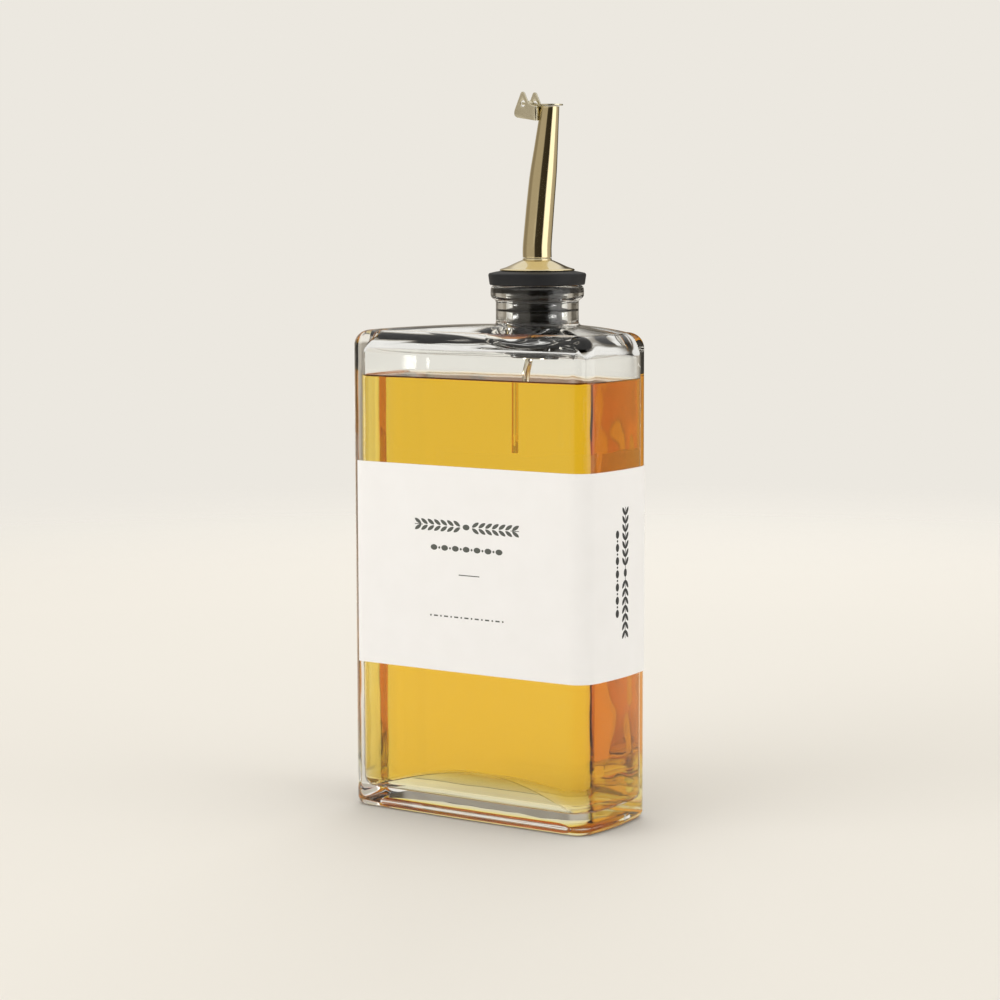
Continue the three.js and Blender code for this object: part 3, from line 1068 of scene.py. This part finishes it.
def smooth_stations(count):
    """Stations of the spout between the given ones, on one smooth line."""
    stations = [Vector(s) for s in SPOUT_STATIONS]
    found = []
    last = len(stations) - 1
    for k in range(last):
        p0, p1 = stations[max(k - 1, 0)], stations[k]
        p2, p3 = stations[k + 1], stations[min(k + 2, last)]
        for i in range(count):
            t = i / count
            found.append(
                0.5
                * (
                    2 * p1
                    + (p2 - p0) * t
                    + (2 * p0 - 5 * p1 + 4 * p2 - p3) * t * t
                    + (3 * p1 - p0 - 3 * p2 + p3) * t * t * t
                )
            )
    found.append(stations[-1])
    return [s * MM for s in found]


def spout_loops(swell, segments=72):
    loops = []
    for z, x, r in smooth_stations(6):
        loops.append(
            [
                Vector(
                    (
                        x + (r + swell) * math.cos(2 * math.pi * i / segments),
                        (r + swell) * math.sin(2 * math.pi * i / segments),
                        z,
                    )
                )
                for i in range(segments)
            ]
        )
    return loops


def bar_along_y(name, radius, half_length, segments=48):
    """A round bar on the hinge pin's axis."""
    loop = [
        Vector(
            (
                PIN_X + radius * math.cos(2 * math.pi * i / segments),
                -half_length,
                PIN_Z + radius * math.sin(2 * math.pi * i / segments),
            )
        )
        for i in range(segments)
    ]
    return plate(name, loop, (0, 2 * half_length, 0))


def swept(name, route, radius, bore, segments=24):
    """A tube along a route in the XZ plane, with an open bore."""
    def loops(reach):
        found = []
        for i, point in enumerate(route):
            ahead = route[min(i + 1, len(route) - 1)] - route[max(i - 1, 0)]
            ahead.normalize()
            side = Vector((0, 1, 0))
            out = side.cross(ahead)
            found.append(
                [
                    point
                    + reach
                    * (
                        out * math.cos(2 * math.pi * k / segments)
                        + side * math.sin(2 * math.pi * k / segments)
                    )
                    for k in range(segments)
                ]
            )
        return found

    return grow(name, loops(radius) + loops(bore)[::-1], bridged=True)


class OILBOTTLE_OT_pourer(bpy.types.Operator):
    """Model the metal stem, dome, collar, spout and breather tube"""

    bl_idname = "oil_bottle.pourer"
    bl_label = "Metal pourer"

    def execute(self, context):
        gold = tuple(context.scene.oil_bottle_colours.gold)
        polished = plated_metal("polished_pale_gold_plate", gold, 0.05, 0.14, 0.02 * MM)
        drawn = plated_metal("drawn_steel_tube", linear("#d8d2c0"), 0.1, 0.25, 0.03 * MM)

        stem = turned("stem", [(3.8, 143.4), (3.8, 175.5), (3.35, 175.5), (3.35, 143.4)], steps=64)
        round_edges(stem, 0.1 * MM)
        finish_piece(stem, "pourer", "inner_stem", [drawn])

        dome = turned(
            "dome",
            [
                (4.1, 169.1), (9.2, 169.05), (11.2, 168.68), (11.36, 168.74), (11.4, 168.95),
                (11.25, 169.15), (10.6, 169.35), (9.8, 169.6), (9, 169.9), (8, 170.35), (7, 170.82),
                (6, 171.28), (5.2, 171.62), (4.7, 171.82), (4.1, 171.85),
            ],
        )
        finish_piece(dome, "pourer", "dome_flange", [polished], smooth=60)

        collar = turned(
            "collar",
            [
                (4.0, 171.5), (4.3, 171.5), (4.42, 171.65), (4.45, 172.0), (4.38, 172.3), (4.2, 172.42),
                (4.0, 172.42),
            ],
            steps=96,
        )
        finish_piece(collar, "pourer", "spout_collar", [polished], smooth=60)

        spout = grow("spout", spout_loops(0) + spout_loops(-SPOUT_WALL)[::-1], bridged=True)
        round_edges(spout, 0.08 * MM, segments=2, angle=50)
        finish_piece(spout, "pourer", "spout_tube", [polished], smooth=50)

        route = [Vector((12.5, 0, z)) for z in (173, 165, 155, 148, 144)]
        bend = [Vector((x, 0, z)) for x, z in ((12.5, 143), (12.5, 140), (11.5, 139), (11.5, 136))]
        for i in range(13):
            t = i / 12
            route.append(
                bend[0] * (1 - t) ** 3
                + bend[1] * 3 * t * (1 - t) ** 2
                + bend[2] * 3 * t * t * (1 - t)
                + bend[3] * t**3
            )
        route += [Vector((11.5, 0, z)) for z in (132, 126, 120, 113.5)]
        breather = swept("breather", [p * MM for p in route], 1.15 * MM, 0.8 * MM)
        round_edges(breather, 0.05 * MM, segments=2, angle=50)
        bright = plated_metal("polished_steel_tube", linear("#f6f0e0"), 0.05, 0.12, 0.02 * MM)
        finish_piece(breather, "pourer", "breather_tube", [bright], smooth=50)
        return {"FINISHED"}


def curve_to(start, control, end, steps):
    """Points of a quadratic curve after its start."""
    found = []
    for t in spread(0, 1, steps):
        found.append(
            tuple(
                s * (1 - t) ** 2 + 2 * c * t * (1 - t) + e * t * t
                for s, c, e in zip(start, control, end)
            )
        )
    return found


class OILBOTTLE_OT_hinge(bpy.types.Operator):
    """Model the hinge bracket from two cheeks and a web with rounded corners, and model the pin and the flap
    lid
    """

    bl_idname = "oil_bottle.hinge"
    bl_label = "Hinge and flap"

    def execute(self, context):
        satin = plated_metal("stamped_pale_gold_steel", linear("#e9e2c8"), 0.2, 0.36, 0.03 * MM)

        outline = [(16.3, 213.7), (16.3, 217.9), (13.9, 218.7), (12.35, 222.0)]
        outline += curve_to((12.35, 222.0), (11.75, 222.75), (11.2, 222.0), 6)
        outline += [(9.0, 217)]
        outline += curve_to((9.0, 217), (8.3, 215.0), (10.2, 214.6), 8)
        cheeks = []
        for name, outer in (("bracket", -3.6), ("far_cheek", 3.0)):
            points = [Vector((x * MM, outer * MM, z * MM)) for x, z in outline]
            cheeks.append(plate(name, points, (0, 0.6 * MM, 0)))
            bpy.ops.object.mode_set(mode="OBJECT")
        bracket = cheeks[0]
        web = plate(
            "web",
            [
                Vector((x * MM, y * MM, 213.75 * MM))
                for x, y in ((15.6, -3.6), (16.85, -3.6), (16.85, 3.6), (15.6, 3.6))
            ],
            (0, 0, 4.1 * MM),
        )

        def corner(edge):
            a, b = (v.co for v in edge.verts)
            return abs(a.z - b.z) > MM and a.x > 16.5 * MM

        pick(web, corner, "EDGE")
        bpy.ops.mesh.bevel(offset=0.9 * MM, segments=8, affect="EDGES")
        bpy.ops.object.mode_set(mode="OBJECT")
        combine(bracket, cheeks[1], "UNION")
        combine(bracket, web, "UNION")
        # The spout's own shape, a hair larger, is cut out where the bracket wraps round it
        poles = [(x * MM, 0, z * MM) for z, x, _ in (SPOUT_STATIONS[0], SPOUT_STATIONS[-1])]
        core = grow("spout_bar", spout_loops(0.02 * MM), low_pole=poles[0], high_pole=poles[1])
        bpy.ops.object.mode_set(mode="OBJECT")
        combine(bracket, core, "DIFFERENCE")
        hole = bar_along_y("hole", 1.0 * MM, 5 * MM)
        bpy.ops.object.mode_set(mode="OBJECT")
        combine(bracket, hole, "DIFFERENCE")
        round_edges(bracket, 0.1 * MM, segments=2, angle=40)
        finish_piece(bracket, "pourer", "hinge_bracket", [satin])

        pin = bar_along_y("pin", 0.45 * MM, 3.7 * MM)
        bpy.ops.object.mode_set(mode="OBJECT")
        round_edges(pin, 0.12 * MM, segments=3, angle=50)
        finish_piece(pin, "pourer", "hinge_pin", [satin])

        lid_outline = []
        lid_r, tongue = 3.8, 1.3
        reach = math.asin(tongue / lid_r)
        steps = 56
        for i in range(steps + 1):
            angle = math.pi - reach - (2 * math.pi - 2 * reach) * i / steps
            lid_outline.append((19.5 + lid_r * math.cos(angle), lid_r * math.sin(angle)))
        lid_outline += [(PIN_X / MM, -tongue), (PIN_X / MM, tongue)]
        lid = plate(
            "flap",
            [Vector((x * MM, y * MM, 218.2 * MM)) for x, y in lid_outline],
            (0, 0, 0.4 * MM),
        )
        bpy.ops.object.mode_set(mode="OBJECT")
        barrel = bar_along_y("barrel", 0.95 * MM, tongue * MM)
        bpy.ops.object.mode_set(mode="OBJECT")
        combine(lid, barrel, "UNION")
        bore = bar_along_y("bore", 0.5 * MM, 5 * MM)
        bpy.ops.object.mode_set(mode="OBJECT")
        combine(lid, bore, "DIFFERENCE")
        round_edges(lid, 0.08 * MM, segments=2, angle=45)
        finish_piece(lid, "flap", "flap_lid", [satin])
        return {"FINISHED"}


# ---- Stage


class OILBOTTLE_OT_stage(bpy.types.Operator):
    """Lay the floor, light it softly and set up the camera"""

    bl_idname = "oil_bottle.stage"
    bl_label = "Studio"

    def execute(self, context):
        scene = context.scene
        bpy.ops.object.select_all(action="DESELECT")
        bpy.ops.mesh.primitive_circle_add(vertices=96, radius=1.1, fill_type="NGON", location=(0, 0, 0))
        floor = begin("studio_floor")
        bpy.ops.transform.translate(value=(0, 0, -0.03 * MM))
        bpy.ops.mesh.inset(thickness=0.1, depth=0)
        bpy.ops.object.mode_set(mode="OBJECT")
        floor.data.materials.append(studio_floor())

        world = bpy.data.worlds.new("pale_studio")
        scene.world = world
        world.use_nodes = True
        tree = world.node_tree
        tree.nodes.clear()
        # Straight through the glass the studio is pale and even, and nearly so through the oil. What
        # is mirrored is bright and dark parts, laid round the compass: one band above the horizon and
        # one below it.
        path = add_node(tree, "ShaderNodeLightPath")
        turns = add_node(
            tree,
            "ShaderNodeMath",
            {0: path.outputs["Glossy Depth"], 1: path.outputs["Diffuse Depth"]},
            operation="ADD",
        )
        unturned = add_node(
            tree, "ShaderNodeMath", {0: turns.outputs["Value"], 1: 0.5}, operation="LESS_THAN"
        )
        through = add_node(
            tree,
            "ShaderNodeMath",
            {0: path.outputs["Is Camera Ray"], 1: path.outputs["Is Transmission Ray"]},
            operation="MAXIMUM",
        )
        seen = add_node(
            tree,
            "ShaderNodeMath",
            {0: unturned.outputs["Value"], 1: through.outputs["Value"]},
            operation="MULTIPLY",
        )
        in_oil = add_node(
            tree,
            "ShaderNodeMath",
            {0: path.outputs["Transmission Depth"], 1: OIL_TRANSMISSIONS},
            operation="GREATER_THAN",
        )
        in_oil = add_node(
            tree, "ShaderNodeMath", {0: in_oil.outputs["Value"], 1: OIL_PALE_SHARE}, operation="MULTIPLY"
        )
        seen = add_node(
            tree,
            "ShaderNodeMath",
            {0: seen.outputs["Value"], 1: in_oil.outputs["Value"]},
            operation="MAXIMUM",
        )
        way = add_node(tree, "ShaderNodeTexCoord").outputs["Generated"]
        part = add_node(tree, "ShaderNodeSeparateXYZ", {"Vector": way})
        bearing = add_node(
            tree,
            "ShaderNodeMath",
            {0: part.outputs["Y"], 1: part.outputs["X"]},
            operation="ARCTAN2",
        )
        lap = add_node(
            tree,
            "ShaderNodeMath",
            {0: bearing.outputs["Value"], 1: 0.5 / math.pi, 2: 1.25},
            operation="MULTIPLY_ADD",
        )
        lap = add_node(tree, "ShaderNodeMath", {0: lap.outputs["Value"]}, operation="FRACT")
        bands = []
        for stops in (HIGH_BAND, LOW_BAND, WINDOWS):
            ramp = add_node(tree, "ShaderNodeValToRGB", {"Fac": lap.outputs["Value"]})
            elements = ramp.color_ramp.elements
            while len(elements) < len(stops):
                elements.new(0.5)
            for element, (azimuth, level) in zip(elements, stops):
                element.position = azimuth / 360
                warmth = 0.4 * max(0.0, 1 - level)
                element.color = (level, level * (1 - 0.4 * warmth), level * (1 - warmth), 1)
            bands.append(ramp.outputs["Color"])
        low = add_node(
            tree,
            "ShaderNodeMapRange",
            {"Value": part.outputs["Z"], "From Min": -0.035, "From Max": -0.06, "To Min": 0.0, "To Max": 1.0},
            interpolation_type="SMOOTHSTEP",
        )
        sill = add_node(
            tree,
            "ShaderNodeMapRange",
            {"Value": part.outputs["Z"], "From Min": 0.0, "From Max": -0.03, "To Min": 0.0, "To Max": 1.0},
            interpolation_type="SMOOTHSTEP",
        )
        band = add_node(
            tree,
            "ShaderNodeMix",
            {"Factor": low.outputs["Result"], "A": bands[0], "B": bands[1]},
            data_type="RGBA",
        )
        high = add_node(
            tree,
            "ShaderNodeMapRange",
            {"Value": part.outputs["Z"], "From Min": 0.3, "From Max": 0.5, "To Min": 0.0, "To Max": 1.0},
            interpolation_type="SMOOTHSTEP",
        )
        sky = add_node(
            tree,
            "ShaderNodeMix",
            {"Factor": high.outputs["Result"], "A": band.outputs[2], "B": rgba([SKY_LEVEL] * 3)},
            data_type="RGBA",
        )
        # The low windows show where the light comes back out through the clear neck
        through_neck = add_node(
            tree,
            "ShaderNodeMath",
            {0: path.outputs["Transmission Depth"], 1: NECK_TRANSMISSIONS, 2: 0.5},
            operation="COMPARE",
        )
        share = add_node(
            tree,
            "ShaderNodeMath",
            {0: through_neck.outputs["Value"], 1: sill.outputs["Result"]},
            operation="MULTIPLY",
        )
        lit = add_node(
            tree,
            "ShaderNodeMix",
            {"Factor": share.outputs["Value"], "A": sky.outputs[2], "B": bands[2]},
            data_type="RGBA",
            blend_type="ADD",
        )
        warm = add_node(
            tree,
            "ShaderNodeMix",
            {"Factor": 1.0, "A": lit.outputs[2], "B": rgba(linear("#f5f3ef"))},
            data_type="RGBA",
            blend_type="MULTIPLY",
        )
        pale = add_node(tree, "ShaderNodeBackground", {"Color": rgba(linear("#ece8e0")), "Strength": 1.0})
        mirrored = add_node(tree, "ShaderNodeBackground", {"Color": warm.outputs[2], "Strength": 1.0})
        mixed = add_node(
            tree,
            "ShaderNodeMixShader",
            {0: seen.outputs["Value"], 1: mirrored.outputs["Background"], 2: pale.outputs["Background"]},
        )
        add_node(tree, "ShaderNodeOutputWorld", {"Surface": mixed.outputs["Shader"]})

        lamps = []
        for name, azimuth, distance, height, width, tall, watts in SOFTBOXES:
            light = bpy.data.lights.new(name, "AREA")
            light.shape = "RECTANGLE"
            light.size = width
            light.size_y = tall
            light.energy = watts
            lamp = bpy.data.objects.new(name, light)
            scene.collection.objects.link(lamp)
            a = math.radians(azimuth)
            lamp.location = (distance * math.sin(a), -distance * math.cos(a), height)
            towards = Vector((0, 0, height)) - lamp.location
            lamp.rotation_euler = towards.to_track_quat("-Z", "Y").to_euler()
            lamps.append(lamp)
        light = bpy.data.lights.new("top_softbox", "AREA")
        light.shape = "DISK"
        light.size = TOP_SOFTBOX_SIZE
        light.energy = TOP_SOFTBOX_WATTS
        lamp = bpy.data.objects.new("top_softbox", light)
        scene.collection.objects.link(lamp)
        lamp.location = TOP_SOFTBOX_PLACE
        lamps.append(lamp)
        # They light what is matt, and what is mirrored comes from the world alone
        for lamp in lamps:
            lamp.visible_camera = False
            lamp.visible_glossy = False
            lamp.visible_transmission = False

        camera_data = bpy.data.cameras.new("camera")
        camera_data.sensor_width = 36
        camera_data.lens = CAMERA_LENS
        camera = bpy.data.objects.new("camera", camera_data)
        scene.collection.objects.link(camera)
        turn, pitch, roll = (math.radians(a) for a in (CAMERA_TURN, CAMERA_PITCH, CAMERA_ROLL))
        back = Vector((math.sin(turn), -math.cos(turn), 0))
        right = Vector((math.cos(turn), math.sin(turn), 0))
        ahead = -back * math.cos(pitch) - Vector((0, 0, math.sin(pitch)))
        up = right.cross(ahead)
        level = right * math.cos(roll) + up * math.sin(roll)
        above = up * math.cos(roll) - right * math.sin(roll)
        turned_to = Matrix((level, above, -ahead)).transposed()
        camera.matrix_world = Matrix.Translation(
            back * CAMERA_DISTANCE + right * CAMERA_ACROSS + Vector((0, 0, CAMERA_HEIGHT))
        ) @ turned_to.to_4x4()
        scene.camera = camera
        scene.view_settings.view_transform = "Standard"
        scene.cycles.max_bounces = 40
        scene.cycles.transmission_bounces = 40
        return {"FINISHED"}


OPERATORS = (
    OILBOTTLE_OT_stage,
    OILBOTTLE_OT_flask,
    OILBOTTLE_OT_oil,
    OILBOTTLE_OT_label,
    OILBOTTLE_OT_stopper,
    OILBOTTLE_OT_pourer,
    OILBOTTLE_OT_hinge,
)


class OILBOTTLE_PT_panel(bpy.types.Panel):
    """Lists the bottle's pieces and what may be changed"""

    bl_idname = "OILBOTTLE_PT_panel"
    bl_label = "Oil Bottle"
    bl_space_type = "VIEW_3D"
    bl_region_type = "UI"
    bl_category = "Oil Bottle"

    def draw(self, context):
        for group in (context.scene.oil_bottle_sizes, context.scene.oil_bottle_colours):
            for name in group.bl_rna.properties.keys():
                if name not in ("rna_type", "name"):
                    self.layout.prop(group, name)
        for operator in OPERATORS:
            self.layout.operator(operator.bl_idname)


CLASSES = (OilBottleSizes, OilBottleColours, *OPERATORS, OILBOTTLE_PT_panel)


def register():
    for cls in CLASSES:
        bpy.utils.register_class(cls)
    bpy.types.Scene.oil_bottle_sizes = bpy.props.PointerProperty(type=OilBottleSizes)
    bpy.types.Scene.oil_bottle_colours = bpy.props.PointerProperty(type=OilBottleColours)


def unregister():
    del bpy.types.Scene.oil_bottle_colours
    del bpy.types.Scene.oil_bottle_sizes
    for cls in reversed(CLASSES):
        bpy.utils.unregister_class(cls)


def main():
    register()
    bpy.ops.oil_bottle.stage()
    bpy.ops.oil_bottle.flask()
    bpy.ops.oil_bottle.oil()
    bpy.ops.oil_bottle.label()
    bpy.ops.oil_bottle.stopper()
    bpy.ops.oil_bottle.pourer()
    bpy.ops.oil_bottle.hinge()


if __name__ == "__main__":
    main()
